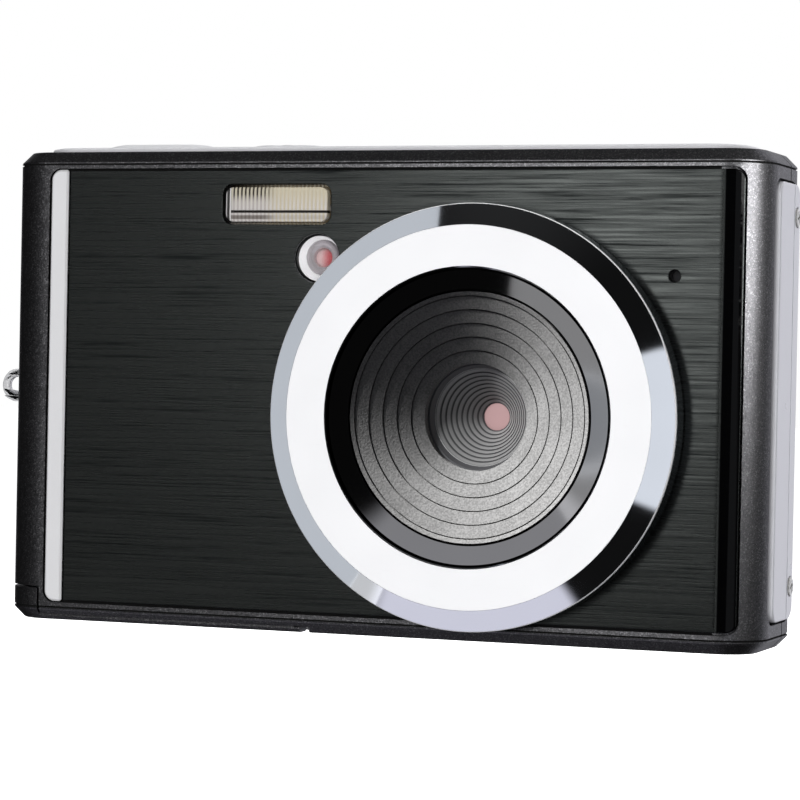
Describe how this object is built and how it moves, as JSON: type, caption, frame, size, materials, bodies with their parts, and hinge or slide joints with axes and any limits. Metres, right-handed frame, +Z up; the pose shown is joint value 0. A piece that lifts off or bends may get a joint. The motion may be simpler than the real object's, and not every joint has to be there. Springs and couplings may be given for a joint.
{
  "type": "compact digital camera",
  "caption": "Slim fixed-lens digital camera with a large bright lens ring, brushed front plate, sprung buttons, rear screen and a sliding, hinged battery door.",
  "frame": {"origin": "middle of the base, on the base face that the camera stands on", "axes": "+Z up; the lens looks along -Y and the screen faces +Y; +X is to the right of someone looking at the lens"},
  "size_m": [0.1033, 0.0256, 0.0598],
  "materials": {
    "painted_shell": "black spray paint with fine metal flake",
    "brushed_black": "horizontally brushed, anodised black",
    "bright_silver": "bright plated",
    "satin_silver": "satin silver paint",
    "gloss_black": "polished black",
    "matte_black": "fine matte texture",
    "clear_plastic": "clear moulded plastic",
    "lens_glass": "coated optical glass",
    "reflector": "plated reflector",
    "circuit_board": "solder-masked laminate",
    "steel": "plain rolled steel",
    "brass": "turned brass",
    "blue_wrap": "shrink sleeve",
    "grey_plastic": "satin moulded grey",
    "red_lens": "tinted clear epoxy",
    "orange_plastic": "moulded orange",
    "screen": "dark display glass",
    "dark_cell": "printed film wrap, plain"
  },
  "bodies": {
    "camera_body": {"front_shell": "painted_shell", "rear_shell": "painted_shell", "front_plate": "brushed_black", "silver_strip": "bright_silver", "top_trim": "satin_silver", "side_trim_right": "satin_silver", "side_trim_left": "satin_silver", "lens_ring": "bright_silver", "lens_bezel": "gloss_black", "lens_cone": "matte_black", "lens_hood": "matte_black", "lens_element": "lens_glass", "lens_holder": "matte_black", "image_sensor": "screen", "sensor_board": "circuit_board", "flash_window": "clear_plastic", "flash_reflector": "reflector", "flash_tube": "lens_glass", "flash_capacitor": "blue_wrap", "timer_lamp_lens": "clear_plastic", "timer_led": "red_lens", "microphone": "steel", "speaker": "steel", "main_board": "circuit_board", "key_board": "circuit_board", "top_switch_board": "circuit_board", "lcd_frame": "steel", "lcd_panel": "screen", "lcd_window": "gloss_black", "battery": "dark_cell", "battery_chamber": "matte_black", "battery_contacts": "brass", "card_slot": "steel", "tripod_bush": "brass", "usb_socket": "steel", "strap_eyelet": "steel", "side_screw_right_upper": "steel", "side_screw_right_lower": "steel", "side_screw_left_upper": "steel", "side_screw_left_lower": "steel", "base_screw_inner": "steel", "base_screw_outer": "steel"},
    "shutter": {"shutter_button": "bright_silver"},
    "power": {"power_button": "bright_silver"},
    "zoom": {"zoom_rocker": "grey_plastic"},
    "mode": {"mode_button": "grey_plastic"},
    "playback": {"playback_button": "grey_plastic"},
    "menu": {"menu_button": "grey_plastic"},
    "delete": {"delete_button": "grey_plastic"},
    "ok": {"ok_key": "grey_plastic"},
    "up": {"up_key": "grey_plastic"},
    "down": {"down_key": "grey_plastic"},
    "left": {"left_key": "grey_plastic"},
    "right": {"right_key": "grey_plastic"},
    "latch": {"battery_latch": "orange_plastic"},
    "carriage": {"door_carriage": "grey_plastic", "door_hinge_pin": "steel", "door_spring": "steel"},
    "door": {"battery_door": "painted_shell"}
  },
  "joints": [
    {"name": "shutter_press", "type": "slide", "parent": "camera_body", "child": "shutter", "axis": [0, 0, -1], "range_m": [0, 0.0006], "stiffness_N_per_m": 250, "springref_m": -0.0008},
    {"name": "power_press", "type": "slide", "parent": "camera_body", "child": "power", "axis": [0, 0, -1], "range_m": [0, 0.0004], "stiffness_N_per_m": 250, "springref_m": -0.0004},
    {"name": "zoom_rock", "type": "hinge", "parent": "camera_body", "child": "zoom", "pos_m": [-0.031, 0.0078, 0.0503], "axis": [0, 0, 1], "range_deg": [-3.5, 3.5], "stiffness_Nm_per_rad": 0.02},
    {"name": "mode_press", "type": "slide", "parent": "camera_body", "child": "mode", "axis": [0, -1, 0], "range_m": [0, 0.00045], "stiffness_N_per_m": 200, "springref_m": -0.0004},
    {"name": "playback_press", "type": "slide", "parent": "camera_body", "child": "playback", "axis": [0, -1, 0], "range_m": [0, 0.00045], "stiffness_N_per_m": 200, "springref_m": -0.0004},
    {"name": "menu_press", "type": "slide", "parent": "camera_body", "child": "menu", "axis": [0, -1, 0], "range_m": [0, 0.00045], "stiffness_N_per_m": 200, "springref_m": -0.0004},
    {"name": "delete_press", "type": "slide", "parent": "camera_body", "child": "delete", "axis": [0, -1, 0], "range_m": [0, 0.00045], "stiffness_N_per_m": 200, "springref_m": -0.0004},
    {"name": "ok_press", "type": "slide", "parent": "camera_body", "child": "ok", "axis": [0, -1, 0], "range_m": [0, 0.00045], "stiffness_N_per_m": 200, "springref_m": -0.0004},
    {"name": "up_press", "type": "slide", "parent": "camera_body", "child": "up", "axis": [0, -1, 0], "range_m": [0, 0.00045], "stiffness_N_per_m": 200, "springref_m": -0.0004},
    {"name": "down_press", "type": "slide", "parent": "camera_body", "child": "down", "axis": [0, -1, 0], "range_m": [0, 0.00045], "stiffness_N_per_m": 200, "springref_m": -0.0004},
    {"name": "left_press", "type": "slide", "parent": "camera_body", "child": "left", "axis": [0, -1, 0], "range_m": [0, 0.00045], "stiffness_N_per_m": 200, "springref_m": -0.0004},
    {"name": "right_press", "type": "slide", "parent": "camera_body", "child": "right", "axis": [0, -1, 0], "range_m": [0, 0.00045], "stiffness_N_per_m": 200, "springref_m": -0.0004},
    {"name": "latch_slide", "type": "slide", "parent": "camera_body", "child": "latch", "axis": [0, 1, 0], "range_m": [0, 0.0018], "stiffness_N_per_m": 120, "springref_m": -0.0006},
    {"name": "door_slide", "type": "slide", "parent": "camera_body", "child": "carriage", "axis": [-1, 0, 0], "range_m": [0, 0.003]},
    {"name": "door_hinge", "type": "hinge", "parent": "carriage", "child": "door", "pos_m": [-0.0086, 0, 0.0012], "axis": [0, -1, 0], "range_deg": [0, 95]}
  ]
}
